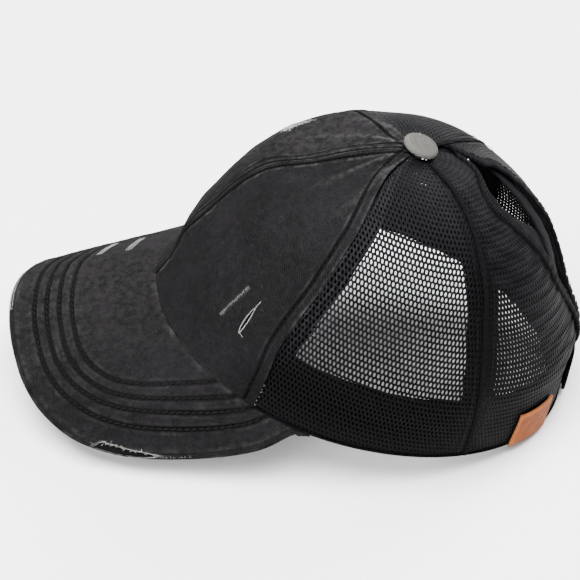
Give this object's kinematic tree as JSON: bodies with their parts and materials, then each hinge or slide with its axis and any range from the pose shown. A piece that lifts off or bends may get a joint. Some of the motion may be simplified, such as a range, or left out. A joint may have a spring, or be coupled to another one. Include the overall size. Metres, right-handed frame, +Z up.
{
  "type": "ponytail baseball cap",
  "caption": "Curved-peak baseball cap with twill front panels, net side and back panels, a crossed-strap ponytail slit at the back and a cloth-covered button on top",
  "frame": {"origin": "middle of the bounding box seen from above, at the level of the surface that the cap rests on", "axes": "+X points from the visor to the back of the cap, +Y to the wearer's right, +Z up; the visor faces -X"},
  "size_m": [0.2768, 0.179, 0.1405],
  "materials": {
    "twill": "washed charcoal cotton twill, worn pale along its seams and edges",
    "net": "stiff black polyester net with small staggered holes",
    "tape": "matt black woven tape",
    "elastic": "dark grey ribbed elastic",
    "board": "flexible visor board, hidden in its cloth",
    "leather": "tan leather, worn pale along its edges",
    "button": "grey-green cloth with a few pale threads"
  },
  "bodies": {
    "root": {"front_panel_left": "twill", "front_panel_right": "twill", "side_net_left": "net", "side_net_right": "net", "back_net_left": "net", "back_net_right": "net", "slit_binding_left": "tape", "slit_binding_right": "tape", "front_seam_tape_left": "tape", "front_seam_tape_right": "tape", "back_seam_tape_left": "tape", "back_seam_tape_right": "tape", "sweatband": "tape", "visor_top_cloth": "twill", "visor_board": "board", "visor_under_cloth": "twill", "cross_strap_upper": "elastic", "cross_strap_lower": "elastic", "closure_tab": "elastic", "closure_strip": "elastic", "leather_label": "leather", "button": "button"}
  },
  "joints": []
}
